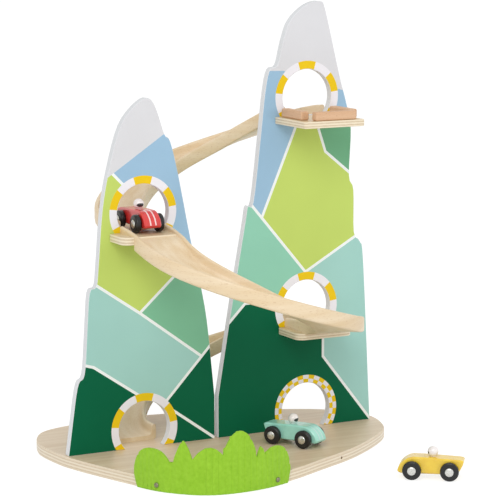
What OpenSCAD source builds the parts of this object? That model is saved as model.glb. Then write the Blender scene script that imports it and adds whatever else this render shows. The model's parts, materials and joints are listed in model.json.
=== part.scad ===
// Wooden car run: two painted mountain panels on a shaped plywood plate,
// three curved troughs that carry small cars from arch to arch, and three cars.
// Frame: origin in the middle of the plate's underside, X along the panels
// (left to right as seen from the front), Y to the back, Z up. Millimetres.

/* [Base plate] */
// Width scale of the plate outline
plate_w = 400; // [260:1:700]
// Depth scale of the plate outline
plate_d = 330; // [220:1:560]
// Plywood thickness of the plate
plate_t = 12; // [8:0.5:24]
// Radius of the rounding of the plate's upper and lower edge
plate_edge = 1.2; // [0.4:0.1:3]

/* [Mountain panels] */
// Thickness of both painted panels
panel_t = 9.4; // [6:0.1:18]
// Width of the left panel at its foot
left_panel_w = 180.3; // [120:0.1:300]
// Height of the left panel above the plate
left_panel_h = 389.8; // [300:0.1:650]
// Width of the right panel at its foot
right_panel_w = 200.2; // [140:0.1:320]
// Height of the right panel above the plate
right_panel_h = 490.3; // [380:0.1:800]
// Gap between the two panels
panel_gap = 4.4; // [1:0.1:12]
// Distance of the panels' front faces behind the plate's middle
panel_back = 20; // [0:1:60]
// Distance of the gap between the panels to the left of the plate's middle
joint_left = 11.6; // [0:0.1:40]

/* [Arches] */
// Radius of every arch hole
arch_hole_r = 31.3; // [24:0.1:50]
// Height of an arch's centre above its floor
arch_rise = 21.2; // [12:0.1:34]
// Distance from the left arches to the middle of the gap between the panels
left_arch_in = 90.1; // [60:0.1:150]
// Distance from the right arches to the middle of the gap between the panels
right_arch_in = 116; // [70:0.1:170]

/* [Floor levels above the plate] */
// Floor of the start shelf
start_level = 362; // [280:1:600]
// Floor of the shelf in front of the left upper arch
left_level = 243.5; // [180:0.5:400]
// Floor of the shelf in front of the right middle arch
middle_level = 120.5; // [80:0.5:220]
// Step down from a shelf or sill to the trough behind it
step_down = 2.3; // [0.5:0.1:6]

/* [Troughs] */
// Outer width of every trough
trough_w = 56; // [46:0.5:80]
// Outer height of a trough's walls
trough_h = 17.7; // [12:0.1:28]
// Thickness of the walls
trough_wall = 5; // [3:0.5:8]
// Thickness of the floor
trough_floor = 5; // [3:0.5:8]
// Radius of the hollow where wall and floor meet
trough_cove = 5; // [2:0.5:8]
// Straight run of the back troughs next to the panels
back_leg = 30; // [12:1:60]
// Stretch past that run that is still level, so that a car can stand in the arch
level_run = 8; // [0:1:20]
// Straight run of the front trough next to the panels
front_leg = 47; // [24:1:80]
// Height of the front trough's wall tops above the left shelf's floor, at the panel
front_top = 7.5; // [5.5:0.1:12]
// Height of the front trough's wall tops above the middle shelf's floor, at the panel
front_end = 10.5; // [6:0.1:12]
// Length over which the front trough's hollow deepens past the left shelf
deepening = 70; // [30:1:120]
// Step down from the left shelf to the front trough's hollow
front_step = 0.5; // [0.2:0.1:3]
// Distance of the lowest trough's open end behind the panel
low_end_gap = 20; // [4:1:30]

/* [Shelves] */
// Plywood thickness of the start shelf and the middle shelf
shelf_t = 7.8; // [5:0.1:14]
// Width of the start shelf
start_shelf_w = 77; // [66:1:110]
// Depth of the start shelf
start_shelf_d = 68; // [50:1:100]
// Width of the left shelf
left_shelf_w = 68.6; // [60:0.1:110]
// Depth of the left shelf
left_shelf_d = 36; // [24:1:60]
// Plywood thickness of the left shelf
left_shelf_t = 8.8; // [5:0.1:14]
// Width of the middle shelf
middle_shelf_w = 72; // [62:1:110]
// Depth of the middle shelf
middle_shelf_d = 46; // [30:1:70]
// Corner radius of the shelves' front corners
shelf_corner = 10; // [2:0.5:18]
// Side length of the fence blocks' square section
fence_s = 10; // [6:0.5:16]
// Clear width between the fence blocks
garage_w = 52; // [42:0.5:70]
// Rounding of the fence blocks' edges
fence_edge = 1.2; // [0.4:0.1:3]

/* [Felt bush] */
// Thickness of the felt
felt_t = 3; // [2:0.1:5]
// Height of the tallest leaf above the plate's underside
felt_h = 67; // [36:1:100]
// Radius of a screw's head
screw_head_r = 2.8; // [2:0.1:5]

/* [Cars] */
// Distance between the axles
wheelbase = 40.5; // [32:0.5:60]
// Distance from the front axle to the tip of the nose
nose_len = 16; // [12:0.5:24]
// Distance from the rear axle to the tail
tail_len = 15; // [12:0.5:24]
// Radius of a wheel
wheel_r = 10.2; // [8:0.1:14]
// Width of a wheel
wheel_w = 6.2; // [5:0.1:10]
// Width of the car body
car_body_w = 20.6; // [17:0.1:30]
// Height of the car body
car_body_h = 18; // [14:0.1:26]
// Height of the body's underside above the ground
car_clear = 6; // [3:0.1:9]
// Rounding of the body's edges
car_edge = 1.4; // [0.6:0.1:3]
// Radius of the driver's head
head_r = 5.8; // [4:0.1:8]
// Radius of the hub pins' shanks
pin_r = 1.5; // [1:0.1:2.5]
// Radius of the hub pins' heads
pin_head_r = 4.7; // [3:0.1:6]
// Radial clearance of a wheel on its pin
pin_clear = 0.05; // [0.02:0.01:0.1]

/* [Where the cars stand] */
// Red car: distance of its front axle in front of the left panel
red_front = 10.4; // [4:0.1:16]
// Mint car: place to the right of the plate's middle
mint_x = 53; // [0:1:110]
// Mint car: place in front of the plate's middle
mint_y = 45; // [30:1:100]
// Mint car: heading
mint_turn = -61.7; // [-120:0.1:0]
// Yellow car: place to the right of the plate's middle
yellow_x = 133; // [60:1:300]
// Yellow car: place in front of the plate's middle
yellow_y = 205; // [190:1:320]
// Yellow car: heading
yellow_turn = 143; // [90:0.5:200]

/* [What to draw] */
// One node's name, or all

/* [Hidden] */
$fn = 64;
// Overrun of a cutting shape past the face it cuts
overrun = 1;
// Sink of a screw or peg into the piece that holds it
sink = 6;
// Air between a standing car's wheels and the floor under them
rest_gap = 0.3;
// Air between a wheel and the parts beside it
side_gap = 0.4;

// Places in the part's frame
joint_x = -joint_left;
left_arch_x = joint_x - left_arch_in;
right_arch_x = joint_x + right_arch_in;
front_y = panel_back;
back_y = panel_back + panel_t;
arch_gap_x = right_arch_x - left_arch_x;
turn_r = arch_gap_x / 2;
turn_x = left_arch_x + turn_r;

// Curve through a list of shares: value at t between 0 and 1
function pick(list, i) = list[max(0, min(len(list) - 1, i))];
function soft(a, b, c, d, t) =
  b + 0.5 * t * (c - a + t * (2 * a - 5 * b + 4 * c - d + t * (3 * (b - c) + d - a)));
function along(list, t) =
  let (u = max(0, min(1, t)) * (len(list) - 1), i = min(len(list) - 2, floor(u)))
  soft(pick(list, i - 1), pick(list, i), pick(list, i + 1), pick(list, i + 2), u - i);

// Plate outline: across as a share of its width, to the back as a share of its depth,
// from its left side over the front; a closed curve runs through the places
plate_shares = [
  [-0.48, 0], [-0.415, -0.24], [-0.365, -0.38], [-0.27, -0.48], [-0.13, -0.488],
  [0, -0.434], [0.1, -0.375], [0.27, -0.268], [0.43, -0.115], [0.487, 0],
  [0.5, 0.13], [0.44, 0.255], [0.34, 0.337], [0.12, 0.446], [-0.13, 0.503],
  [-0.28, 0.49], [-0.43, 0.434], [-0.497, 0.29], [-0.5, 0.13]
];
plate_n = len(plate_shares);
plate_steps = 8;
function ring(i) = plate_shares[(i + plate_n) % plate_n];
function plate_point(u) =
  let (i = floor(u), p = soft(ring(i - 1), ring(i), ring(i + 1), ring(i + 2), u - i))
  [p[0] * plate_w, p[1] * plate_d];
// Outward direction of the plate's edge
edge_step = 0.02;
function unit(v) = v / norm(v);
function edge_out(u) =
  let (d = unit(plate_point(u + edge_step) - plate_point(u - edge_step)))
  [d[1], -d[0]];

// Panel outlines: across as a share of the panel's width, up as a share of its height,
// a smooth curve from the foot's outer corner to its inner side and back
left_shares = [
  [-1, 0], [-0.96, 0.133], [-0.93, 0.205], [-0.89, 0.23], [-0.87, 0.333], [-0.85, 0.46],
  [-0.805, 0.477], [-0.79, 0.53], [-0.76, 0.69], [-0.71, 0.81], [-0.63, 0.928],
  [-0.52, 0.987], [-0.445, 1], [-0.395, 0.97], [-0.34, 0.897], [-0.3, 0.875],
  [-0.245, 0.777], [-0.165, 0.595], [-0.067, 0.395], [-0.022, 0.23], [0, 0.128]
];
right_shares = [
  [0, 0.098], [0.07, 0.267], [0.17, 0.49], [0.19, 0.535], [0.225, 0.545], [0.27, 0.69],
  [0.3, 0.796], [0.33, 0.847], [0.38, 0.857], [0.415, 0.91], [0.46, 0.957], [0.56, 0.992],
  [0.655, 1], [0.69, 0.975], [0.78, 0.83], [0.83, 0.76], [0.86, 0.7], [0.85, 0.592],
  [0.88, 0.557], [0.885, 0.457], [0.925, 0.433], [0.95, 0.378], [1, 0]
];
panel_steps = 4;
function outline(shares) =
  [for (k = [0 : (len(shares) - 1) * panel_steps])
    along(shares, k / panel_steps / (len(shares) - 1))];

// Leaves of the bush: middle and half width as shares of its length, height as a share
// of the tallest leaf, and how full its round top is
leaf_shares = [
  [0.125, 0.13, 0.68, 2.2], [0.34, 0.08, 0.86, 1.5], [0.47, 0.125, 0.76, 2],
  [0.63, 0.127, 1, 2], [0.765, 0.055, 0.7, 1.5], [0.86, 0.135, 0.64, 2]
];
// Height of the felt between the leaves
bush_band_share = 0.38;

// How far each trough has come down, at equal steps of its length
back_drop_shares = [0, 0.06, 0.19, 0.35, 0.5, 0.65, 0.8, 0.93, 1];
front_drop_shares = [0, 0.06, 0.18, 0.3, 0.43, 0.57, 0.7, 0.81, 0.89, 0.96, 1];

// Side view of the car: forward as a share of its length, up as a share of its height
car_shares = [
  [0.1, 0], [0.055, 0.28], [0.015, 0.6], [0, 0.8], [0.02, 0.88], [0.08, 0.91],
  [0.2, 0.93], [0.4, 0.97], [0.6, 1], [0.77, 1], [0.83, 0.95], [0.895, 0.8],
  [0.955, 0.575], [0.985, 0.35], [1, 0.17], [0.985, 0.05], [0.95, 0]
];

module plate_outline() {
  polygon([for (k = [0 : plate_n * plate_steps - 1]) plate_point(k / plate_steps)]);
}

module base_plate() {
  color("#cdb99c")
  difference() {
    union() {
      linear_extrude(height = plate_edge)
        offset(delta = -plate_edge / 2)
        plate_outline();
      translate([0, 0, plate_edge])
        linear_extrude(height = plate_t - 2 * plate_edge)
        plate_outline();
      translate([0, 0, plate_t - plate_edge])
        linear_extrude(height = plate_edge)
        offset(delta = -plate_edge / 2)
        plate_outline();
    }
    // Dowel hole in the front edge
    translate([plate_w * 0.2, -plate_d / 2, plate_t / 2])
      rotate([-90, 0, 0])
      cylinder(r = pin_r, h = plate_d * 0.22);
  }
}

// Arch hole with a flat floor, through a panel
module arch_hole(x, floor_z) {
  translate([x, front_y - overrun, plate_t + floor_z])
  difference() {
    translate([0, 0, arch_rise])
      rotate([-90, 0, 0])
      cylinder(r = arch_hole_r, h = panel_t + 2 * overrun);
    translate([-arch_hole_r - overrun, -overrun, -arch_hole_r])
      cube([2 * (arch_hole_r + overrun), panel_t + 4 * overrun, arch_hole_r]);
  }
}

module panel(shares, x, w, h) {
  translate([x, back_y, plate_t])
    rotate([90, 0, 0])
    linear_extrude(height = panel_t)
    polygon([for (p = concat([[0, 0]], outline(shares))) [p[0] * w, p[1] * h]]);
}

module left_panel() {
  color("#9fc1da")
  difference() {
    panel(left_shares, joint_x - panel_gap / 2, left_panel_w, left_panel_h);
    arch_hole(left_arch_x, left_level);
    arch_hole(left_arch_x, 0);
  }
}

module right_panel() {
  color("#7fb893")
  difference() {
    panel(right_shares, joint_x + panel_gap / 2, right_panel_w, right_panel_h);
    arch_hole(right_arch_x, start_level);
    arch_hole(right_arch_x, middle_level);
    arch_hole(right_arch_x, 0);
  }
}

// Quarter round of a shelf's front corner, from angle a on, as points
function corner(x, y, r, a) =
  [for (k = [0 : corner_n]) [x + r * cos(a + 90 * k / corner_n), y + r * sin(a + 90 * k / corner_n)]];
corner_n = 8;

// Shelf with its back edge against the panel; a front corner without a radius is square
module shelf(x, level, w, d, t, left_r, right_r) {
  translate([x, front_y, plate_t + level - t])
    linear_extrude(height = t)
    polygon(concat(
      [[-w / 2, 0]],
      corner(-w / 2 + left_r, -d + left_r, left_r, 180),
      right_r > 0 ? corner(w / 2 - right_r, -d + right_r, right_r, 270) : [[w / 2, -d]],
      [[w / 2, 0]]
    ));
}

module start_shelf() {
  // The shelf's right edge lines up with the right fence block
  color("#d9ccae")
  shelf(right_arch_x + garage_w / 2 + fence_s - start_shelf_w / 2, start_level,
        start_shelf_w, start_shelf_d, shelf_t, fence_edge * 2, fence_edge * 2);
}

module left_shelf() {
  // The shelf's square right corner lines up with the trough, its round left one sticks out
  color("#d9ccae")
  shelf(left_arch_x + trough_w / 2 - left_shelf_w / 2, left_level,
        left_shelf_w, left_shelf_d, left_shelf_t, shelf_corner, 0);
}

module middle_shelf() {
  color("#d9ccae")
  shelf(right_arch_x, middle_level, middle_shelf_w, middle_shelf_d, shelf_t,
        shelf_corner, shelf_corner);
}

// Square block with chamfered edges, from the origin along X
module block(length) {
  c = fence_edge;
  hull() {
    translate([0, c, c])
      cube([length, fence_s - 2 * c, fence_s - 2 * c]);
    translate([c, 0, c])
      cube([length - 2 * c, fence_s, fence_s - 2 * c]);
    translate([c, c, 0])
      cube([length - 2 * c, fence_s - 2 * c, fence_s]);
  }
}

side_block_l = start_shelf_d * 0.68;
front_block_l = garage_w;

module fence_left() {
  color("#c9a384")
  translate([right_arch_x - garage_w / 2, front_y - fence_s / 2 - side_block_l, plate_t + start_level])
    rotate([0, 0, 90])
    block(side_block_l);
}

module fence_right() {
  color("#c9a384")
  translate([right_arch_x + garage_w / 2 + fence_s, front_y - fence_s / 2 - side_block_l,
             plate_t + start_level])
    rotate([0, 0, 90])
    block(side_block_l);
}

module fence_front() {
  color("#c9a384")
  translate([right_arch_x - garage_w / 2, front_y - start_shelf_d + fence_edge, plate_t + start_level])
    block(front_block_l);
}

// Cross-section of a trough: across and up from the middle of its underside.
// fill raises the floor of its hollow.
cove_n = 3;
lip = trough_wall / 2;
inner_w = trough_w / 2 - trough_wall;
foot_r = trough_floor * 0.6;
function quarter(k, n) = 90 * k / n;
function half_section(fill) =
  let (depth = trough_h - trough_floor - fill,
       cove = min(trough_cove, depth * 0.4),
       inner_lip = min(lip, depth * 0.5))
  concat(
    [for (k = [0 : cove_n]) let (a = quarter(k, cove_n))
      [trough_w / 2 - foot_r * (1 - sin(a)), foot_r * (1 - cos(a))]],
    [for (k = [0 : cove_n]) let (a = quarter(k, cove_n))
      [trough_w / 2 - lip * (1 - cos(a)), trough_h - lip * (1 - sin(a))]],
    [for (k = [1 : cove_n]) let (a = quarter(k, cove_n))
      [inner_w + lip * (1 - sin(a)), trough_h - inner_lip * (1 - cos(a))]],
    [for (k = [0 : cove_n]) let (a = quarter(k, cove_n))
      [inner_w - cove * (1 - cos(a)), trough_h - depth + cove * (1 - sin(a))]]
  );
// The right half goes from the underside over the wall into the hollow, the left half back
function section(fill) =
  let (half = half_section(fill), n = len(half))
  concat([for (k = [n - 1 : -1 : 0]) [-half[n - 1 - k][0], half[n - 1 - k][1]]],
         [for (k = [n - 1 : -1 : 0]) half[k]]);
section_n = len(section(0));

// A trough's course: a straight leg, a half turn and a straight leg back.
// side = 1 runs behind the panels from right to left, side = -1 in front from left to right.
leg_n = 3;
arc_n = 30;
course_n = 2 * leg_n + arc_n;
function course_turn(i) = max(0, min(1, (i - leg_n) / arc_n)) * 180;
function course_leg(i, leg) =
  i < leg_n ? leg * i / leg_n :
  i > leg_n + arc_n ? leg * (course_n - i) / leg_n : leg;
function course_s(i, leg) =
  i < leg_n ? leg * i / leg_n :
  i > leg_n + arc_n ? leg + PI * turn_r + leg * (i - leg_n - arc_n) / leg_n :
  leg + PI * turn_r * (i - leg_n) / arc_n;
function course_len(leg) = 2 * leg + PI * turn_r;

// Every station of the course carries the section at its height, with its floor raised by fills
module sweep(side, leg, wall_y, heights, fills) {
  rows = [for (i = [0 : course_n])
    let (a = course_turn(i), out = [cos(a), sin(a)])
    [for (q = section(fills[i]))
      [turn_x + side * (turn_r - q[0]) * out[0],
       wall_y + side * (course_leg(i, leg) + (turn_r - q[0]) * out[1]),
       heights[i] + q[1]]]];
  points = [for (row = rows) for (p = row) p];
  n = section_n;
  faces = concat(
    [[for (k = [0 : n - 1]) k]],
    [[for (k = [n - 1 : -1 : 0]) course_n * n + k]],
    [for (i = [0 : course_n - 1]) for (k = [0 : n - 1])
      [i * n + k, (i + 1) * n + k, (i + 1) * n + (k + 1) % n]],
    [for (i = [0 : course_n - 1]) for (k = [0 : n - 1])
      [i * n + k, (i + 1) * n + (k + 1) % n, i * n + (k + 1) % n]]
  );
  polyhedron(points = points, faces = faces, convexity = 6);
}

// Heights of the underside at the stations: the back troughs run level into the last arch
no_fill = [for (i = [0 : course_n]) 0];
function back_heights(from, to) =
  [for (i = [0 : course_n])
    from - (from - to) * along(back_drop_shares,
      course_s(i, back_leg) / (course_len(back_leg) - back_leg - level_run))];
front_from = plate_t + left_level + front_top - trough_h;
front_to = plate_t + middle_level + front_end - trough_h;
function front_height(s) =
  front_from - (front_from - front_to) * along(front_drop_shares, s / course_len(front_leg));
// The front trough's hollow starts flush with the left shelf and deepens past it
function front_room(s) = plate_t + left_level - front_step - trough_floor - front_height(s);
function front_fill(s) =
  let (t = max(0, min(1, (s - left_shelf_d) / deepening)))
  max(0, min(front_room(s), front_room(left_shelf_d) * (1 + cos(180 * t)) / 2));

module top_trough() {
  color("#e3cba6")
  sweep(1, back_leg, back_y,
        back_heights(plate_t + start_level - step_down - trough_floor,
                     plate_t + left_level - trough_floor),
        no_fill);
}

module low_trough() {
  color("#e3cba6")
  difference() {
    sweep(1, back_leg, back_y,
          back_heights(plate_t + middle_level - step_down / 2 - trough_floor, plate_t),
          no_fill);
    // The open end stands off from the panel
    translate([left_arch_x - trough_w, back_y - overrun, plate_t - overrun])
      cube([2 * trough_w, low_end_gap + overrun, 2 * trough_h]);
  }
}

module front_trough() {
  color("#e3cba6")
  difference() {
    sweep(-1, front_leg, front_y,
          [for (i = [0 : course_n]) front_height(course_s(i, front_leg))],
          [for (i = [0 : course_n]) front_fill(course_s(i, front_leg))]);
    // Room for the left shelf
    translate([left_arch_x - trough_w, front_y - left_shelf_d, plate_t + left_level - 2 * trough_h])
      cube([2 * trough_w, left_shelf_d + overrun, 2 * trough_h]);
    // Room for the middle shelf
    translate([right_arch_x - trough_w, front_y - middle_shelf_d, plate_t + middle_level - 2 * trough_h])
      cube([2 * trough_w, middle_shelf_d + overrun, 2 * trough_h]);
  }
}

// The bush follows the plate's front edge, between two places of the plate's outline
bush_from = 1.55;
bush_to = 4.84;
bush_n = 96;
bush_lift = 0.4;
// Air between the felt and the plate's edge
felt_gap = 0.2;
function bush_u(share) = bush_from + (bush_to - bush_from) * share;
function leaf_top(share, leaf) =
  let (off = abs(share - leaf[0]) / leaf[1])
  off < 1 ? leaf[2] * pow(1 - pow(off, leaf[3]), 1 / leaf[3]) : 0;
function bush_top(share) =
  let (first = leaf_shares[0][0],
       last = leaf_shares[len(leaf_shares) - 1][0],
       band = share > first && share < last ? bush_band_share : 0)
  felt_h * max(bush_foot_share, band, max([for (leaf = leaf_shares) leaf_top(share, leaf)]));
// Height of the felt at its two ends
bush_foot_share = 0.04;
// Places of the two screws along the bush
screw_shares = [0.07, 0.86];

module felt_bush() {
  rows = [for (i = [0 : bush_n])
    let (u = bush_u(i / bush_n), o = edge_out(u), p = plate_point(u) + o * felt_gap,
         q = p + o * felt_t, top = bush_top(i / bush_n))
    [[p[0], p[1], bush_lift], [q[0], q[1], bush_lift], [q[0], q[1], top], [p[0], p[1], top]]];
  points = [for (row = rows) for (p = row) p];
  faces = concat(
    [[0, 1, 2, 3]],
    [[for (k = [3 : -1 : 0]) bush_n * 4 + k]],
    [for (i = [0 : bush_n - 1]) for (k = [0 : 3])
      [i * 4 + k, (i + 1) * 4 + k, (i + 1) * 4 + (k + 1) % 4]],
    [for (i = [0 : bush_n - 1]) for (k = [0 : 3])
      [i * 4 + k, (i + 1) * 4 + (k + 1) % 4, i * 4 + (k + 1) % 4]]
  );
  color("#9ccd3c")
  polyhedron(points = points, faces = faces, convexity = 8);
}

// Screw with a domed head, along +Z from the face it sits on
module screw() {
  head_h = screw_head_r * 0.6;
  rotate_extrude()
  polygon(concat(
    [[0, -felt_t - felt_gap - sink], [pin_r * 0.7, -felt_t - felt_gap - sink],
     [pin_r * 0.9, 0], [screw_head_r, 0]],
    [for (k = [1 : 5]) [screw_head_r * cos(90 * k / 5), head_h * sin(90 * k / 5)]]
  ));
}

module bush_screws() {
  color("#8f9a55")
  // One through the left leaf and one through the right one
  for (share = screw_shares) {
    u = bush_u(share);
    o = edge_out(u);
    p = plate_point(u) + o * (felt_gap + felt_t);
    translate([p[0], p[1], plate_t * 0.6])
      rotate([0, 90, atan2(o[1], o[0])])
      screw();
  }
}

// Cars. Their own frame: X forward, Y to the left, Z up, origin on the ground
// under the middle of the wheelbase.
car_len = nose_len + wheelbase + tail_len;
car_tail_x = -wheelbase / 2 - tail_len;
front_axle = wheelbase / 2;
pin_head_h = pin_head_r * 0.28;

// Where each car stands: the red one in the upper left arch, the mint one on the plate,
// the yellow one on the table in front of it
module place_car(car) {
  if (car == "red")
    translate([left_arch_x, front_y - red_front + wheelbase / 2, plate_t + left_level + rest_gap])
      rotate([0, 0, -90])
      children();
  if (car == "mint")
    translate([mint_x, -mint_y, plate_t + rest_gap])
      rotate([0, 0, mint_turn])
      children();
  if (car == "yellow")
    translate([yellow_x, -yellow_y, rest_gap])
      rotate([0, 0, yellow_turn])
      children();
}

// Side view of the body, shrunk by a given amount
module car_side(less) {
  offset(delta = -less)
  polygon([for (p = car_shares) [car_tail_x + p[0] * car_len, car_clear + p[1] * car_body_h]]);
}

module car_body() {
  difference() {
    hull() {
      translate([0, (car_body_w - 2 * car_edge) / 2, 0])
        rotate([90, 0, 0])
        linear_extrude(height = car_body_w - 2 * car_edge)
        car_side(0);
      translate([0, car_body_w / 2, 0])
        rotate([90, 0, 0])
        linear_extrude(height = car_body_w)
        car_side(car_edge);
    }
    for (x = [-front_axle, front_axle])
      translate([x, car_body_w / 2 + overrun, wheel_r])
      rotate([90, 0, 0])
      cylinder(r = pin_r, h = car_body_w + 2 * overrun);
    translate([-car_len * 0.02, 0, car_clear + car_body_h - head_r])
      cylinder(r = head_r * 0.55, h = head_r + overrun);
  }
}

// Turned wooden head on its peg
module car_driver() {
  translate([-car_len * 0.02, 0, car_clear + car_body_h])
  union() {
    translate([0, 0, head_r * 0.85])
      sphere(r = head_r);
    translate([0, 0, -head_r])
      cylinder(r = head_r * 0.55, h = head_r * 1.5);
  }
}

// Hub pin along +Y, its shank from the body's middle out through the wheel
module hub_pin() {
  shank = car_body_w / 2 + wheel_w + 2 * side_gap;
  rotate([-90, 0, 0])
  rotate_extrude()
  polygon(concat(
    [[0, overrun], [pin_r, overrun], [pin_r, shank], [pin_head_r, shank]],
    [for (k = [1 : 6]) [pin_head_r * cos(90 * k / 6), shank + pin_head_h * sin(90 * k / 6)]]
  ));
}

module car_pins() {
  for (x = [-front_axle, front_axle])
    for (side = [0, 180])
      translate([x, 0, wheel_r])
      rotate([0, 0, side])
      hub_pin();
}

// Wheel with a rounded tread and a shallow dish, its inner face at y = 0
module wheel() {
  r = wheel_w * 0.28;
  bore = pin_r + pin_clear;
  rotate([-90, 0, 0])
  rotate_extrude()
  polygon(concat(
    [[bore, 0]],
    [for (k = [0 : 5]) [wheel_r - r + r * sin(90 * k / 5), r - r * cos(90 * k / 5)]],
    [for (k = [0 : 5]) [wheel_r - r + r * cos(90 * k / 5), wheel_w - r + r * sin(90 * k / 5)]],
    [[bore, wheel_w]]
  ));
}

module car_wheel(front, left) {
  translate([front * front_axle, 0, wheel_r])
    rotate([0, 0, left > 0 ? 0 : 180])
    translate([0, car_body_w / 2 + side_gap, 0])
    wheel();
}

// One piece of one car; a wheel's last letters are front or rear and left or right
module car_piece(car, piece) {
  place_car(car)
    if (piece == "body") color(car_paint(car)) car_body();
    else if (piece == "driver") color("#ece4dc") car_driver();
    else if (piece == "pins") color("#c8c8c8") car_pins();
    else color("#1c1c1e")
      car_wheel(piece[6] == "f" ? 1 : -1, piece[7] == "l" ? 1 : -1);
}
function car_paint(car) = car == "red" ? "#d93a35" : car == "mint" ? "#96d6c4" : "#f0cf4a";
cars = ["red", "mint", "yellow"];
car_pieces = ["body", "driver", "pins", "wheel_fl", "wheel_fr", "wheel_rl", "wheel_rr"];

base_plate();
left_panel();
right_panel();
start_shelf();
fence_left();
fence_front();
fence_right();
left_shelf();
middle_shelf();
top_trough();
front_trough();
low_trough();
felt_bush();
bush_screws();
for (car = cars)
  for (piece = car_pieces)
    car_piece(car, piece);
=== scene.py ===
# %% [markdown]
# This scene dresses a wooden car run: two printed mountain panels on a shaped
# plywood plate, three bent wooden troughs, little shelves, a felt bush and three
# small lacquered cars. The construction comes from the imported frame, in metres,
# and every piece here stays where the frame has it. What is made below is what
# the eye reads as wood, print, felt, lacquer and metal.

# %% Load the frame
import json
import math

import bmesh
import bpy
import numpy as np
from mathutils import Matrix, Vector


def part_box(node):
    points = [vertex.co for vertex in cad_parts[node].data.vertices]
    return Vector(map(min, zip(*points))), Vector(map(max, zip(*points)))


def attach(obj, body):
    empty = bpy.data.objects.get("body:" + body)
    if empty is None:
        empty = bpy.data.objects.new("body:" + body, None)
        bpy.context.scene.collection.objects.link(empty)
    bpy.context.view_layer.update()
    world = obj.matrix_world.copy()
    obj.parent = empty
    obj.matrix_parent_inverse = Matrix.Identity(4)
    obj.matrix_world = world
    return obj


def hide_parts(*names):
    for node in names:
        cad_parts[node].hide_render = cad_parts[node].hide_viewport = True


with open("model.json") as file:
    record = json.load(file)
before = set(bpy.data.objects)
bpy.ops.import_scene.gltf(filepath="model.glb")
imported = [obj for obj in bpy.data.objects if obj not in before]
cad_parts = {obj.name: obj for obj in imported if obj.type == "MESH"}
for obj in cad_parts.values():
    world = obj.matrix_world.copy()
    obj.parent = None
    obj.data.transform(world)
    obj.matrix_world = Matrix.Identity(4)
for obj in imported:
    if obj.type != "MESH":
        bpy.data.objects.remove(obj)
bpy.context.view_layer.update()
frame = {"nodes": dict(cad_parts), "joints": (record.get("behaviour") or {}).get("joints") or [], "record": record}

MM = 0.001
plate_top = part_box("base_plate")[1].z
openings = {o["name"]: o["box_m"] for o in frame["record"]["physics"]["openings"]}


def opening_middle(name, axis):
    """Middle of a stated opening's box along one axis (0, 1 or 2)."""
    low, high = openings[name]
    return (low[axis] + high[axis]) / 2


left_arch_x = opening_middle("finish_arch", 0)
right_arch_x = opening_middle("right_tunnel", 0)
turn_x = (left_arch_x + right_arch_x) / 2
turn_r = (right_arch_x - left_arch_x) / 2
print("plate top", round(plate_top, 4), "turn radius", round(turn_r, 4))

# %% [markdown]
# The camera stands far off with a long lens, as a product photographer's does,
# a little above the object and to its left. Its place and direction were solved
# from the object's own straight edges and round arches, so they are given here
# as a place, a direction and a lens.

# %% Camera
camera_place = Vector((-1.1767, -2.2410, 0.6263))
camera_toward = Vector((0.4656, 0.8714, -0.1547))
camera_lens = 165.6

camera_data = bpy.data.cameras.new("camera")
camera_data.lens = camera_lens
camera_data.sensor_width = 36
camera_data.clip_end = 20
camera = bpy.data.objects.new("camera", camera_data)
camera.location = camera_place
camera.rotation_mode = "QUATERNION"
camera.rotation_quaternion = camera_toward.to_track_quat("-Z", "Y")
bpy.context.scene.collection.objects.link(camera)
bpy.context.scene.camera = camera

# %% [markdown]
# Materials are small node trees. One function adds a node, sets its options and
# feeds its inputs with numbers or with the outputs of earlier nodes. Another
# turns the sRGB hex colour that a screen shows into the linear colour that the
# renderer works with. The short ones after them each add one kind of node.

# %% Material helpers
RELIEF = 0.2 * MM


def linear(code):
    """sRGB hex to linear RGBA: c/12.92 below 0.04045, else ((c+0.055)/1.055)^2.4."""
    parts = [int(code[i:i + 2], 16) / 255 for i in (0, 2, 4)]
    return [c / 12.92 if c <= 0.04045 else ((c + 0.055) / 1.055) ** 2.4 for c in parts] + [1.0]


def add(tree, kind, feed=(), **settings):
    """Adds one node, sets its options, and feeds its inputs by number or by name."""
    made = tree.nodes.new("ShaderNode" + kind)
    for option, value in settings.items():
        setattr(made, option, value)
    pairs = feed.items() if isinstance(feed, dict) else enumerate(feed)
    for key, value in pairs:
        socket = made.inputs[key]
        if isinstance(value, bpy.types.NodeSocket):
            tree.links.new(value, socket)
        else:
            socket.default_value = value
    return made


def calc(tree, operation, *values):
    """Result of one operation on numbers."""
    return add(tree, "Math", values, operation=operation).outputs[0]


def vector(tree, operation, *values):
    """Result of one operation on vectors that gives a vector."""
    return add(tree, "VectorMath", values, operation=operation).outputs[0]


def length_of(tree, value):
    """Length of a vector."""
    return add(tree, "VectorMath", [value], operation="LENGTH").outputs["Value"]


def axes_of(tree, value):
    """The three numbers of a vector."""
    return add(tree, "SeparateXYZ", [value]).outputs


def together(tree, x, y, z):
    """The vector of three numbers."""
    return add(tree, "CombineXYZ", [x, y, z]).outputs[0]


def object_place(tree):
    """Object coordinates, in metres."""
    return add(tree, "TexCoord").outputs["Object"]


def noise(tree, at, scale, detail):
    """Noise at a vector, spread round one half."""
    return add(tree, "TexNoise", {"Vector": at, "Scale": scale, "Detail": detail}).outputs[0]


def spread(tree, value, low, high, start=0.0, end=1.0):
    """The range from low to high stretched over the one from start to end, and held at its ends."""
    return add(tree, "MapRange", [value, low, high, start, end]).outputs[0]


def mixed(tree, amount, first, second):
    """Colour mix: first where amount is 0, second where it is 1."""
    return add(tree, "Mix", {0: amount, 6: first, 7: second}, data_type="RGBA").outputs[2]


def toned(tree, value, low, high, first, second):
    """Two sRGB colours, from the first to the second as the value goes from low to high."""
    return mixed(tree, spread(tree, value, low, high), linear(first), linear(second))


def relief(tree, height, strength, depth=RELIEF):
    """Direction of a surface with a fine relief."""
    return add(tree, "Bump", {"Height": height, "Strength": strength, "Distance": depth}).outputs[0]


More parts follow.
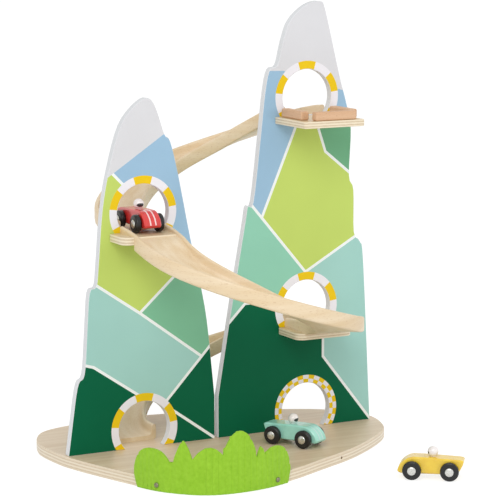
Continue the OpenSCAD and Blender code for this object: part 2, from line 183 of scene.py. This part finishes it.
def faces_axis(tree, axis, least):
    """1 where the surface looks along an axis (0, 1 or 2), with a cosine above the least."""
    normal = add(tree, "TexCoord").outputs["Normal"]
    along = calc(tree, "ABSOLUTE", axes_of(tree, normal)[axis])
    return calc(tree, "GREATER_THAN", along, least)


def new_material(name):
    """A material with an empty node tree."""
    material = bpy.data.materials.new(name)
    material.use_nodes = True
    material.node_tree.nodes.clear()
    return material, material.node_tree


def finish_shader(tree, colour, roughness, bump=None, **sockets):
    """Principled shader and output. Constant values go straight on the sockets."""
    feed = {"Base Color": colour, "Roughness": roughness}
    if bump is not None:
        feed["Normal"] = bump
    feed.update({name.replace("_", " "): value for name, value in sockets.items()})
    shader = add(tree, "BsdfPrincipled", feed)
    add(tree, "OutputMaterial", {"Surface": shader.outputs[0]})


# %% [markdown]
# Wood is drawn as it grew: long thin fibres, much longer than wide, broad soft
# bands from the growth rings, and short dark flecks. All three are noise that is
# stretched along the grain, so every wood here shares one recipe, and only the
# direction of the grain and the colours differ.

# %% Wood recipe
# noise cells per metre along the grain and across it
FIBRES, BANDS, FLECKS = (33, 1100, 1100), (7, 110, 110), (300, 1500, 1500)


def wood_look(tree, grain, pale, dark, fleck, fleck_amount):
    """Colour and bump of planed wood. grain is a vector whose X runs along the fibres, in metres.
    Fibres are about 0.9 mm wide and 30 mm long, bands 9 mm wide and 140 mm long."""
    fibre = noise(tree, vector(tree, "MULTIPLY", grain, FIBRES), 1, 3)
    band = noise(tree, vector(tree, "MULTIPLY", grain, BANDS), 1, 2)
    flecks = noise(tree, vector(tree, "MULTIPLY", grain, FLECKS), 1, 1)
    blend = calc(tree, "MULTIPLY_ADD", fibre, 0.45, band)
    colour = toned(tree, blend, 0.45, 1.0, pale, dark)
    spot = spread(tree, flecks, 0.64, 0.72, 0.0, fleck_amount)
    return mixed(tree, spot, colour, linear(fleck)), relief(tree, fibre, 0.12)


# %% [markdown]
# Birch plywood shows its grain on the face and its layers on the edge. A node
# that knows the surface's own direction picks between the two: where the face
# looks up or down it is grain, and on the edge the layers are stripes of height,
# pale where the fibres run along and browner where they are cut across.

# %% Plywood
GRIT = (260, 260, 2600)


def plywood(name, node, face, edge, plies):
    """Plywood lying flat: face grain along X, plies counted over the node's height. face and
    edge are each a pale and a dark colour."""
    material, tree = new_material(name)
    low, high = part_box(node)
    place = object_place(tree)
    colour, bump = wood_look(tree, place, *face, "a98a63", 0.18)
    height = spread(tree, axes_of(tree, place)[2], low.z, high.z, 0.0, float(plies))
    crossed = calc(tree, "GREATER_THAN", calc(tree, "MODULO", height, 2.0), 1.0)
    grit = noise(tree, vector(tree, "MULTIPLY", place, GRIT), 1, 2)
    layers = mixed(tree, calc(tree, "MULTIPLY", crossed, grit), linear(edge[0]), linear(edge[1]))
    colour = mixed(tree, faces_axis(tree, 2, 0.7), layers, colour)
    finish_shader(tree, colour, 0.42, bump, Coat_Weight=0.12, Coat_Roughness=0.3)
    return material


plate_wood = plywood("birch_plywood_plate_lacquered", "base_plate",
                     ("e2cfb4", "d0b795"), ("e8dcc6", "bfa47f"), 7)
shelves = ("start_shelf", "left_shelf", "middle_shelf")
shelf_woods = {shelf: plywood("birch_plywood_" + shelf, shelf,
                              ("decba8", "cdb48c"), ("e9dcc2", "b5986f"), 5)
               for shelf in shelves}

# %% [markdown]
# The troughs are strips of pale hardwood, moulded over a former, so the grain
# follows the bend. The coordinates do the same: the length along the course
# is the half turn's angle times its radius, with the straight legs added before
# and after, and the width is the distance from the turn's centre.

# %% Bent wood


def course_grain(tree, centre_y, side):
    """Vector (along the course, across it, height). With x' and y' from the turn's centre, turned
    round in front, the length is r * atan2(max(y', 0), x') + sign(x') * min(y', 0), and the width
    is the distance sqrt(x'^2 + max(y', 0)^2)."""
    from_centre = vector(tree, "SUBTRACT", object_place(tree), (turn_x, centre_y, 0))
    x, y, z = axes_of(tree, vector(tree, "MULTIPLY", from_centre, (side, side, 1)))
    in_turn = calc(tree, "MAXIMUM", y, 0.0)
    in_leg = calc(tree, "MINIMUM", y, 0.0)
    angle = calc(tree, "ARCTAN2", in_turn, x)
    leg = calc(tree, "MULTIPLY", calc(tree, "SIGN", x), in_leg)
    along = calc(tree, "MULTIPLY_ADD", angle, turn_r, leg)
    return together(tree, along, length_of(tree, together(tree, x, in_turn, 0.0)), z)


def bent_wood(name, centre_y, side):
    """Moulded trough wood with a thin clear lacquer."""
    material, tree = new_material(name)
    grain = course_grain(tree, centre_y, side)
    colour, bump = wood_look(tree, grain, "e9d6b8", "dcc299", "b98f60", 0.45)
    finish_shader(tree, colour, 0.44, bump, Coat_Weight=0.1, Coat_Roughness=0.35)
    return material


back_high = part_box("top_trough")[1]
front_low, front_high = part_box("front_trough")
back_turn_y = back_high.y - turn_r - (back_high.x - right_arch_x)
front_turn_y = front_low.y + turn_r + (front_high.x - right_arch_x)
back_wood = bent_wood("moulded_trough_wood_back", back_turn_y, 1)
front_wood = bent_wood("moulded_trough_wood_front", front_turn_y, -1)
print("turn centres", round(back_turn_y, 4), round(front_turn_y, 4))

# %% Beech blocks


def beech(name, axis):
    """Steamed beech, pinkish with short dark flecks. The grain runs along the given axis."""
    material, tree = new_material(name)
    x, y, z = axes_of(tree, object_place(tree))
    grain = together(tree, x, y, z) if axis == "X" else together(tree, y, x, z)
    colour, bump = wood_look(tree, grain, "dcb794", "c89c76", "a07452", 0.5)
    finish_shader(tree, colour, 0.5, bump)
    return material


beech_across = beech("steamed_beech_across", "X")
beech_along = beech("steamed_beech_along", "Y")

# %% [markdown]
# The panels are plywood with a printed front: flat areas of colour like cut
# paper, with thin white lines between them and a striped ring round each arch.
# An area is drawn as what lies inside several straight sides. For each side a
# dot product gives how far a point is beyond it, and the largest of these is the
# distance to the area's edge. A point inside by more than the inset takes the
# area's colour, a point nearer to the edge or outside by less than the line's
# width takes the line's, and beyond that whatever was painted before still shows.

# %% Print helpers
LINE, BOARD_EDGE = "eef2f0", "dcdee0"
RING_WHITE, RING_YELLOW = "e9e7ec", "e8c41d"
LINED, UNLINED, REPAINTED = (1.6, 1.6), (0, 0), (0, 1.6)


def beyond(tree, point, start, end):
    """Distance in millimetres to the right of the line from start to end:
    normal . (point - start)."""
    across = np.array([end[1] - start[1], start[0] - end[0]], float)
    across /= np.hypot(*across)
    dot = add(tree, "VectorMath", [point, (across[0], 0, across[1])], operation="DOT_PRODUCT")
    return calc(tree, "ADD", dot.outputs["Value"], -float(across @ np.array(start, float)))


def print_area(tree, point, under, code, edge, sides):
    """Paints one area over what is under it. Inside is to the left of each side. edge is
    (width of the line outside the area, inset of the colour inside it), in millimetres."""
    farthest = None
    for start, end in sides:
        distance = beyond(tree, point, start, end)
        farthest = distance if farthest is None else calc(tree, "MAXIMUM", farthest, distance)
    line_width, inset = edge
    if line_width:
        line = calc(tree, "LESS_THAN", farthest, line_width)
        under = mixed(tree, line, under, linear(LINE))
    return mixed(tree, calc(tree, "LESS_THAN", farthest, -inset), under, linear(code))


def ring_layers(tree, point, centre, sill, inner, outer, step, rows):
    """Masks (on the ring, yellow there). The angle from the top, in steps, and the row from the
    inner edge are rounded down, and even sums are yellow."""
    around = vector(tree, "SUBTRACT", point, (centre[0], 0, centre[1]))
    radius = length_of(tree, around)
    x, _, z = axes_of(tree, around)
    angle = calc(tree, "ARCTAN2", x, z)
    steps = calc(tree, "MULTIPLY_ADD", angle, 1 / math.radians(step), 0.5)
    count = calc(tree, "FLOOR", steps)
    if rows > 1:
        row = calc(tree, "FLOOR", spread(tree, radius, inner, outer, 0.0, float(rows)))
        count = calc(tree, "ADD", count, row)
    yellow = calc(tree, "LESS_THAN", calc(tree, "FLOORED_MODULO", count, 2.0), 0.5)
    within = calc(tree, "LESS_THAN", radius, outer)
    above = calc(tree, "GREATER_THAN", z, sill - centre[1])
    return calc(tree, "MULTIPLY", within, above), yellow


def printed_panel(name, ground, areas, rings):
    """Satin print on a white lacquered board. areas are (colour, edge, sides), painted in turn
    over the ground colour, and the rings come last."""
    material, tree = new_material(name)
    place = object_place(tree)
    point = vector(tree, "MULTIPLY", place, (1 / MM, 0, 1 / MM))
    colour = linear(ground)
    for code, edge, sides in areas:
        colour = print_area(tree, point, colour, code, edge, sides)
    for measures in rings:
        on_ring, yellow = ring_layers(tree, point, *measures)
        stripes = mixed(tree, yellow, linear(RING_WHITE), linear(RING_YELLOW))
        colour = mixed(tree, on_ring, colour, stripes)
    colour = mixed(tree, faces_axis(tree, 1, 0.85), linear(BOARD_EDGE), colour)
    shade = spread(tree, noise(tree, place, 14, 2), 0.3, 0.7, 0.97, 1.02)
    colour = vector(tree, "MULTIPLY", colour, shade)
    bump = relief(tree, noise(tree, place, 900, 1), 0.05)
    finish_shader(tree, colour, 0.5, bump, Specular_IOR_Level=0.1)
    return material


# %% [markdown]
# The printed areas, in millimetres: across from the plate's middle and up from
# the plate's underside, with the inside on the left of each side. An area that
# is painted later lies over the earlier ones, so few sides are enough for each.
# The green below the start shelf on the right panel is print with the shelf's
# shadow painted into it.

# %% Printed areas
BLUE, LIME, GREEN, MINT = "99bbd4", "bfd36b", "7ebb98", "a0cdc4"
# the darker green below the start shelf on the right panel is printed green with a painted shadow of the shelf in
# it
PALE_GREEN, PAINTED_SHADE_GREEN, DARK, CAP = "90cbb2", "70ac84", "035f3f", "d6d6d9"


def back(side):
    """The same side walked the other way, so the inside changes over."""
    return (side[1], side[0])


def right_of(x):
    """An upright side with its inside on the right."""
    return ((x, 900), (x, -900))


def left_of(x):
    """An upright side with its inside on the left."""
    return back(right_of(x))


left_cap = ((-138, 321), (-75, 362))
left_short = ((-138, 321), (-41, 224))
left_rise = ((-106, 165), (-41, 223))
left_lime_foot = ((-158, 199), (-106, 164))
left_green_foot = ((-106, 164), (-32, 110))
left_mint_right = ((-73.5, 63), (-21, 118.5))
left_mint_top = ((-176, 112.5), (-160, 108))
left_mint_foot = ((-164, 109.5), (-113, 75))
left_split = ((-66, 50), (-16, 14.5))

left_areas = [
    (GREEN, LINED, [back(left_rise), left_green_foot]),
    (LIME, LINED, [back(left_short), left_rise, left_lime_foot]),
    (BLUE, LINED, [left_short, left_rise]),
    (CAP, UNLINED, [left_cap]),
    (DARK, LINED, [back(left_mint_right)]),
    (DARK, LINED, [back(left_mint_foot), back(left_mint_top), left_of(-95)]),
    (DARK, LINED, [back(left_mint_right), back(left_split)]),
]

right_cap = ((74, 425.5), (150, 401))
right_cap_left = ((50, 426.2), (74, 425.5))
right_blue = ((47.5, 263), (87.6, 356))
right_blue_foot = ((0, 368), (200, 368))
right_fall = ((31, 278.5), (104.4, 193))
right_rise = ((104.4, 195), (169, 231))
right_green_foot = ((122, 337), (160, 306.4))
right_green_left = ((119, 360), (129, 331))
right_dark_left = ((5, 144), (24.6, 163.6))
right_dark_top = ((24.6, 164), (104, 164))
right_dark_foot = ((188.7, 16), (123.4, 98.1))

right_dark_tall = [back(right_dark_top), back(right_dark_left), left_of(127)]
right_dark_wide = [back(right_dark_left), right_dark_foot, back(right_dark_top)]
right_areas = [
    (BLUE, LINED, [right_fall, right_blue]),
    # printed green under the start shelf, darkened as painted shadow of the shelf
    (PAINTED_SHADE_GREEN, LINED, [right_green_foot, right_green_left]),
    (BLUE, UNLINED, [right_of(104), right_blue_foot]),
    (PALE_GREEN, LINED, [back(right_fall), left_of(104)]),
    (MINT, LINED, [back(right_rise), right_of(104)]),
    (DARK, LINED, right_dark_wide),
    (DARK, LINED, right_dark_tall),
    (DARK, REPAINTED, right_dark_wide),
    (CAP, UNLINED, [right_cap_left, left_of(74)]),
    (CAP, UNLINED, [right_cap, right_of(74)]),
]

# each ring: centre, height of the sill under it, inner and outer radius, degrees per stripe, rows
HOLE_R, RING_R, RISE = 31.3, 40.6, 21.2


def ring(arch_x, sill, step, rows):
    """A ring round the arch that stands on a sill."""
    x = arch_x / MM
    return ((x, sill + RISE), sill, HOLE_R, RING_R, step, rows)


level = {shelf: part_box(shelf)[1].z / MM for shelf in shelves}
base = plate_top / MM
left_rings = [ring(left_arch_x, sill, 33, 1) for sill in (level["left_shelf"], base)]
right_rings = [ring(right_arch_x, sill, 33, 1)
               for sill in (level["start_shelf"], level["middle_shelf"])]
right_rings.append(ring(right_arch_x, base, 11, 2))
left_print = printed_panel("satin_print_left_panel", MINT, left_areas, left_rings)
right_print = printed_panel("satin_print_right_panel", LIME, right_areas, right_rings)

# %% [markdown]
# Felt is a mat of fine wool or polyester fibres. From a step away it is a matt,
# slightly mottled colour with a soft sheen at grazing angles and no clear edge
# to its highlights, so it gets full roughness, a fuzzy bump and sheen.

# %% Felt
felt, tree = new_material("green_craft_felt")
place = object_place(tree)
mottle = calc(tree, "MULTIPLY_ADD", noise(tree, place, 45, 2), 0.35, noise(tree, place, 260, 4))
colour = toned(tree, mottle, 0.4, 0.95, "9bca3a", "8abb2c")
fuzz = relief(tree, noise(tree, place, 1500, 3), 0.35, 0.5 * MM)
finish_shader(tree, colour, 0.95, fuzz, Sheen_Weight=0.08, Sheen_Roughness=0.6,
              Specular_IOR_Level=0.1)

# %% [markdown]
# The cars are lacquered wood, painted in each car's own coordinates, because
# each one looks another way. Two thin stripes run down the bonnet, and the
# driver's bead looks out through a black oval.

# %% Car finishes
STRIPE_Y, STRIPE_HALF = 3.1 * MM, 0.8 * MM
STRIPE_FROM_X, STRIPE_FROM_Z = 8 * MM, 9.5 * MM
OVAL_HALVES = (4.2 * MM, 4.6 * MM, 2.1 * MM)


def car_frame(car):
    """Middle of the car on the ground, and its heading, from its slide joint and its wheels."""
    axis = Vector(next(j["axis"] for j in frame["joints"] if j["name"] == car + "_roll"))
    corners = [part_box(f"{car}_wheel_{w}") for w in ("fl", "fr", "rl", "rr")]
    middle = sum(((low + high) / 2 for low, high in corners), Vector()) / 4
    ground = min(low.z for low, high in corners)
    return Vector((middle.x, middle.y, ground)), axis


def car_place(tree, car):
    """Object coordinates turned into the car's own: X forward, Y to the left, Z up, in metres."""
    middle, axis = car_frame(car)
    turn = math.atan2(axis.y, axis.x)
    return add(tree, "Mapping", {"Vector": object_place(tree), "Location": middle,
                                 "Rotation": (0, 0, turn)}, vector_type="TEXTURE").outputs[0]


def lacquer(name, car, paint, worn, stripe):
    """Coloured gloss lacquer on wood, with two stripes along the bonnet ahead of the driver."""
    material, tree = new_material(name)
    own = car_place(tree, car)
    x, y, z = axes_of(tree, own)
    colour = toned(tree, noise(tree, own, 90, 3), 0.35, 0.75, paint, worn)
    off_stripe = calc(tree, "SUBTRACT", calc(tree, "ABSOLUTE", y), STRIPE_Y)
    on_stripe = calc(tree, "LESS_THAN", calc(tree, "ABSOLUTE", off_stripe), STRIPE_HALF)
    for value, least in ((x, STRIPE_FROM_X), (z, STRIPE_FROM_Z)):
        past = calc(tree, "GREATER_THAN", value, least)
        on_stripe = calc(tree, "MULTIPLY", on_stripe, past)
    colour = mixed(tree, on_stripe, colour, linear(stripe))
    grain = noise(tree, vector(tree, "MULTIPLY", own, (60, 1400, 1400)), 1, 2)
    finish_shader(tree, colour, 0.35, relief(tree, grain, 0.06), Coat_Weight=0.6,
                  Coat_Roughness=0.12)
    return material


def head_paint(name, car):
    """Off-white lacquered bead with a black oval painted where it looks forward.
    The oval holds the points whose squared distances, each over its half-width, sum to under 1."""
    material, tree = new_material(name)
    middle, axis = car_frame(car)
    low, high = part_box(car + "_driver")
    radius = (high.x - low.x) / 2
    own = car_place(tree, car)
    forward = ((low + high) / 2 - middle).dot(axis)
    front = (forward + radius * 0.9, 0, high.z - middle.z - radius * 1.15)
    away = vector(tree, "SUBTRACT", own, front)
    scaled = vector(tree, "MULTIPLY", away, tuple(1 / half for half in OVAL_HALVES))
    oval = calc(tree, "LESS_THAN", length_of(tree, scaled), 1.0)
    white = toned(tree, noise(tree, own, 240, 2), 0.35, 0.7, "f1ecea", "e2dad8")
    colour = mixed(tree, oval, white, linear("151517"))
    finish_shader(tree, colour, 0.3, Coat_Weight=0.5, Coat_Roughness=0.15)
    return material


paints = {
    "red": lacquer("red_gloss_lacquer", "red", "da3330", "c32826", "eed2d0"),
    "mint": lacquer("mint_gloss_lacquer", "mint", "a2e0d1", "90d0bf", "c3dcd8"),
    "yellow": lacquer("yellow_gloss_lacquer", "yellow", "f0ce3c", "e3b92c", "efd9a0"),
}
heads = {car: head_paint(car + "_driver_bead_white", car) for car in paints}

# %% [markdown]
# A wheel is turned wood under thick black lacquer, with the fine unevenness of
# a sprayed coat. Its hub pin is bright pressed steel: a metal takes its colour
# from its base colour, and its shine from a low roughness.

# %% Wheel, pin and screw finishes
wheel_black, tree = new_material("black_lacquered_turned_wheel")
spray = noise(tree, object_place(tree), 700, 2)
colour = toned(tree, spray, 0.3, 0.8, "0b0b0c", "161617")
finish_shader(tree, colour, 0.4, relief(tree, spray, 0.1), Specular_IOR_Level=0.3,
              Coat_Weight=0.35, Coat_Roughness=0.12)

pin_steel, tree = new_material("bright_nickelled_steel_pin")
wear = noise(tree, object_place(tree), 900, 3)
colour = toned(tree, wear, 0.35, 0.7, "dcdcd8", "b9b8b2")
finish_shader(tree, colour, spread(tree, wear, 0.3, 0.7, 0.2, 0.38), Metallic=1.0)

screw_steel, tree = new_material("zinc_plated_steel_screw")
wear = noise(tree, object_place(tree), 800, 2)
finish_shader(tree, toned(tree, wear, 0.35, 0.7, "8f8c72", "6f6d58"), 0.4, Metallic=1.0)

# %% [markdown]
# A sanded wooden edge is never sharp, and its tiny round is what catches the
# light. Each CAD piece is copied and its loose triangles are joined; on the
# pieces given a round, flat neighbours are merged and a Bevel modifier rounds
# only the real edges. The copy then replaces the CAD node in the picture. The
# flat U-shaped ends of the troughs come as fans of triangles that lie folded
# across the hollow, so they are joined and cut into triangles again first.

# %% Copies with softened edges
JOIN_WITHIN, ON_PLANE = 0.01 * MM, 0.005 * MM
FOLDED, REAL_EDGE = math.radians(179), math.radians(32)


def is_folded(edge):
    """Whether two faces lie back on each other along an edge."""
    return len(edge.link_faces) == 2 and edge.calc_face_angle(0) > FOLDED


def faces_on_plane(seeds):
    """The seeds and all faces joined to them whose corners lie on the largest seed's plane."""
    largest = max(seeds, key=lambda face: face.calc_area())
    normal, corner = largest.normal.copy(), largest.verts[0].co.copy()
    found, waiting = set(seeds), list(seeds)
    while waiting:
        for edge in waiting.pop().edges:
            for face in edge.link_faces:
                if face in found:
                    continue
                if all(abs((v.co - corner).dot(normal)) < ON_PLANE for v in face.verts):
                    found.add(face)
                    waiting.append(face)
    return found


def mend_ends(shape):
    """Join the folded triangles of each flat end into one face, cut it into triangles again,
    and give how many ends there were."""
    ends = []
    for edge in filter(is_folded, shape.edges):
        if not any(edge.link_faces[0] in end for end in ends):
            ends.append(faces_on_plane(edge.link_faces))
    for end in ends:
        whole = bmesh.ops.dissolve_faces(shape, faces=list(end))["region"]
        bmesh.ops.triangulate(shape, faces=whole, ngon_method="EAR_CLIP")
    return len(ends)


def worked(node, body, material, round_mm):
    """A joined, softened copy of a CAD node that rides on its body and replaces it."""
    mesh = frame["nodes"][node].data.copy()
    shape = bmesh.new()
    shape.from_mesh(mesh)
    bmesh.ops.remove_doubles(shape, verts=shape.verts, dist=JOIN_WITHIN)
    ends = mend_ends(shape)
    if ends:
        print(node, "flat ends cut into triangles again", ends)
    if round_mm:
        bmesh.ops.dissolve_limit(shape, angle_limit=math.radians(1), verts=shape.verts,
                                 edges=shape.edges)
    for edge in shape.edges:
        edge.smooth = len(edge.link_faces) == 2 and edge.calc_face_angle(0) <= REAL_EDGE
    for face in shape.faces:
        face.smooth = True
        face.material_index = 0
    shape.to_mesh(mesh)
    shape.free()
    piece = bpy.data.objects.new(node + "_worked", mesh)
    bpy.context.scene.collection.objects.link(piece)
    mesh.materials.clear()
    mesh.materials.append(material)
    if round_mm:
        bevel = piece.modifiers.new("edge", "BEVEL")
        bevel.width = round_mm * MM
        bevel.segments = 3
        bevel.limit_method = "ANGLE"
        bevel.angle_limit = REAL_EDGE
        bevel.use_clamp_overlap = True
        bevel.harden_normals = True
    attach(piece, body)
    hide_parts(node)
    return piece


tower = [
    ("base_plate", plate_wood, 0.5),
    ("left_panel", left_print, 0.9), ("right_panel", right_print, 0.9),
    ("start_shelf", shelf_woods["start_shelf"], 0.9),
    ("left_shelf", shelf_woods["left_shelf"], 0.9),
    ("middle_shelf", shelf_woods["middle_shelf"], 0.9),
    ("fence_front", beech_across, 0.4),
    ("fence_left", beech_along, 0.4), ("fence_right", beech_along, 0.4),
    ("top_trough", back_wood, 0), ("low_trough", back_wood, 0), ("front_trough", front_wood, 0),
    ("bush_screws", screw_steel, 0),
]
for node, material, round_mm in tower:
    worked(node, "tower", material, round_mm)

for car in paints:
    worked(car + "_body", car + "_car", paints[car], 0.8)
    worked(car + "_driver", car + "_car", heads[car], 0)
    worked(car + "_pins", car + "_car", pin_steel, 0)
    for wheel in ("fl", "fr", "rl", "rr"):
        name = f"{car}_wheel_{wheel}"
        worked(name, name, wheel_black, 0)
print("pieces", len(tower) + 7 * len(paints))

# %% [markdown]
# The bush is one piece of thick felt, cut in the outline of six round and
# pointed leaves and screwed along the plate's front edge. Here it is a grid:
# one direction follows the edge, the other rises to the leaves' tops. A front
# and a back sheet meet in a rim, which a Bevel modifier makes soft.

# %% Edge of the plate
# the felt starts this far left of the CAD's bush, and ends this far inside it, as in the photo
START_PAST, END_INSIDE = 4.5 * MM, 4 * MM


def plate_edge():
    """Points of the plate's outline, in order round it, from the frame's own plate."""
    mesh = frame["nodes"]["base_plate"].data
    points = np.empty(len(mesh.vertices) * 3)
    mesh.vertices.foreach_get("co", points)
    points = points.reshape(-1, 3)
    reach = np.hypot(points[:, 0], points[:, 1])
    angle = np.arctan2(points[:, 1], points[:, 0])
    keep = np.unique(np.round(angle, 3), return_inverse=True)[1].ravel()
    outer = np.zeros(keep.max() + 1)
    np.maximum.at(outer, keep, reach)
    chosen = np.nonzero(reach >= outer[keep] - 1e-6)[0]
    chosen = chosen[np.argsort(angle[chosen])]
    return points[chosen][:, :2]


edge = plate_edge()
front = edge[edge[:, 1] < 0]
length = np.concatenate([[0], np.cumsum(np.hypot(*np.diff(front, axis=0).T))])
bush_low, bush_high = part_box("felt_bush")
bush_start = np.interp(bush_low.x - START_PAST, front[:, 0], length)
bush_end = np.interp(bush_high.x - END_INSIDE, front[:, 0], length)
bush_long = bush_end - bush_start
bush_tall = bush_high.z - bush_low.z
print("bush along the edge, mm", round(bush_long / MM), "tall", round(bush_tall / MM))

# %% Outline of the bush
# each leaf: middle and half width as shares of the bush's length, height as a share of the
# tallest leaf, and the power that sets how full its top is
leaves = [(0.135, 0.14, 0.68, 2.5), (0.325, 0.08, 0.86, 1.5), (0.46, 0.13, 0.76, 2.0),
          (0.63, 0.127, 1.0, 2.0), (0.765, 0.055, 0.7, 1.5), (0.87, 0.13, 0.66, 2.3)]
# height of the band between the leaves and of the felt's ends, as shares of the tallest leaf
BAND, ENDS = 0.5, 0.04
DRAWN_IN, DRAWN_BELOW, WAVE = 0.06, 22 * MM, 0.3 * MM


def bush_top(share):
    """Height of the felt: the highest of the leaves' curves h * (1 - |(share - c) / w|^p)^(1/p),
    and never under a band that joins the leaves."""
    top = np.full(share.shape, ENDS)
    for middle, half, height, power in leaves:
        off = np.clip(np.abs(share - middle) / half, 0, 1)
        top = np.maximum(top, height * (1 - off ** power) ** (1 / power))
    band = np.where((share > leaves[0][0]) & (share < leaves[-1][0]), BAND, 0)
    return np.maximum(top, band) * bush_tall


def bush_sheets(columns, rows, gap, thick):
    """Points of the back and the front sheet, as arrays of rows by columns. The share along the
    edge is drawn in towards the middle near the foot, by 6% * (1 - z / 22 mm)^2, so that the
    end leaves are round below too, and both sheets wave by a third of a millimetre."""
    share = np.linspace(0, 1, columns)[None, :]
    up = np.linspace(0, 1, rows)[:, None]
    z = bush_top(share) * up
    drawn = 1 - DRAWN_IN * np.clip(1 - z / DRAWN_BELOW, 0, 1) ** 2
    along = bush_start + bush_long * (0.5 + (share - 0.5) * drawn)
    at = np.stack([np.interp(along, length, front[:, axis]) for axis in (0, 1)], -1)
    ahead = np.stack([np.interp(along + MM, length, front[:, axis]) for axis in (0, 1)], -1)
    tangent = (ahead - at) / np.linalg.norm(ahead - at, axis=-1, keepdims=True)
    outward = np.stack([tangent[..., 1], -tangent[..., 0]], -1)
    wave = WAVE * np.sin(23 * share) * up ** 2
    sheets = []
    for out in (gap, gap + thick):
        flat = at + outward * (out + wave)[..., None]
        sheets.append(np.concatenate([flat, (bush_low.z + z)[..., None]], -1))
    return sheets


# %% Felt bush


def grid_faces(columns, rows):
    """Corners of the faces of two grids, one behind the other, and of the rim that joins them."""
    count = columns * rows
    i = (np.arange(rows - 1)[:, None] * columns + np.arange(columns - 1)[None, :]).ravel()
    behind = np.stack([i, i + columns, i + columns + 1, i + 1], 1)
    before = behind[:, ::-1] + count
    rim = np.concatenate([np.arange(columns), columns * np.arange(1, rows) + columns - 1,
                          count - 2 - np.arange(columns - 1),
                          columns * np.arange(rows - 2, 0, -1)])
    following = np.roll(rim, -1)
    sides = np.stack([rim, following, following + count, rim + count], 1)
    return np.concatenate([behind, before, sides])


def felt_bush(columns=420, rows=26, gap=0.5 * MM, thick=2.4 * MM):
    """One closed felt piece from the two sheets, joined round the rim."""
    points = np.concatenate([s.reshape(-1, 3) for s in bush_sheets(columns, rows, gap, thick)])
    mesh = bpy.data.meshes.new("felt_bush_cut")
    mesh.from_pydata(points.tolist(), [], grid_faces(columns, rows).tolist())
    shape = bmesh.new()
    shape.from_mesh(mesh)
    bmesh.ops.recalc_face_normals(shape, faces=shape.faces)
    for face in shape.faces:
        face.smooth = True
    shape.to_mesh(mesh)
    shape.free()
    mesh.materials.append(felt)
    piece = bpy.data.objects.new("felt_bush_cut", mesh)
    bpy.context.scene.collection.objects.link(piece)
    soften = piece.modifiers.new("rim", "BEVEL")
    soften.width = 0.7 * MM
    soften.segments = 2
    soften.limit_method = "ANGLE"
    soften.angle_limit = math.radians(60)
    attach(piece, "tower")
    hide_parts("felt_bush")
    return piece


felt_bush()

# %% [markdown]
# The studio is a white floor and a white world. What the camera sees behind the
# object is plain white, by asking the light path, while the object itself is lit
# by a softer level so that its colours show as they are. Two large lamps give
# the gentle shading from the upper left.

# %% Floor, world and lamps
FLOOR_REACH = 40.0
GLOW, GLOW_SHARE = 1.25, 0.62
SKY_ON_OBJECT, SKY_SEEN = 0.76, 1.0


def seen_directly(tree):
    """1 for what the camera sees straight, in a reflection or through something clear."""
    path = add(tree, "LightPath").outputs
    seen = calc(tree, "MAXIMUM", path["Is Camera Ray"], path["Is Glossy Ray"])
    return calc(tree, "MAXIMUM", seen, path["Is Transmission Ray"])


floor_white, tree = new_material("white_paper_floor")
matt = add(tree, "BsdfDiffuse", {"Color": linear("fafafa")})
glow = add(tree, "Emission", {"Color": (1, 1, 1, 1), "Strength": GLOW})
shared = add(tree, "MixShader", [GLOW_SHARE, matt.outputs[0], glow.outputs[0]])
chosen = add(tree, "MixShader", [seen_directly(tree), matt.outputs[0], shared.outputs[0]])
add(tree, "OutputMaterial", {"Surface": chosen.outputs[0]})

corners = [(x * FLOOR_REACH, y * FLOOR_REACH, 0) for x, y in ((-1, -1), (1, -1), (1, 1), (-1, 1))]
floor_mesh = bpy.data.meshes.new("floor")
floor_mesh.from_pydata(corners, [], [(0, 1, 2, 3)])
floor_mesh.materials.append(floor_white)
floor = bpy.data.objects.new("floor", floor_mesh)
bpy.context.scene.collection.objects.link(floor)

world = bpy.data.worlds.new("studio")
bpy.context.scene.world = world
world.use_nodes = True
tree = world.node_tree
tree.nodes.clear()
strength = spread(tree, seen_directly(tree), 0.0, 1.0, SKY_ON_OBJECT, SKY_SEEN)
sky = add(tree, "Background", {"Color": (1, 1, 1, 1), "Strength": strength})
add(tree, "OutputWorld", {"Surface": sky.outputs[0]})


def lamp(name, place, aim, size, power):
    """A square area lamp that looks from its place at a point."""
    data = bpy.data.lights.new(name, "AREA")
    data.size = size
    data.energy = power
    made = bpy.data.objects.new(name, data)
    made.location = place
    made.rotation_mode = "QUATERNION"
    made.rotation_quaternion = (Vector(aim) - Vector(place)).to_track_quat("-Z", "Y")
    bpy.context.scene.collection.objects.link(made)


lamp("key", (-1.5, -2.2, 2.0), (0, 0, 0.15), 1.6, 34)
lamp("fill", (2.2, -1.8, 1.2), (0, 0, 0.1), 1.8, 10)

bpy.context.scene.view_settings.view_transform = "Standard"
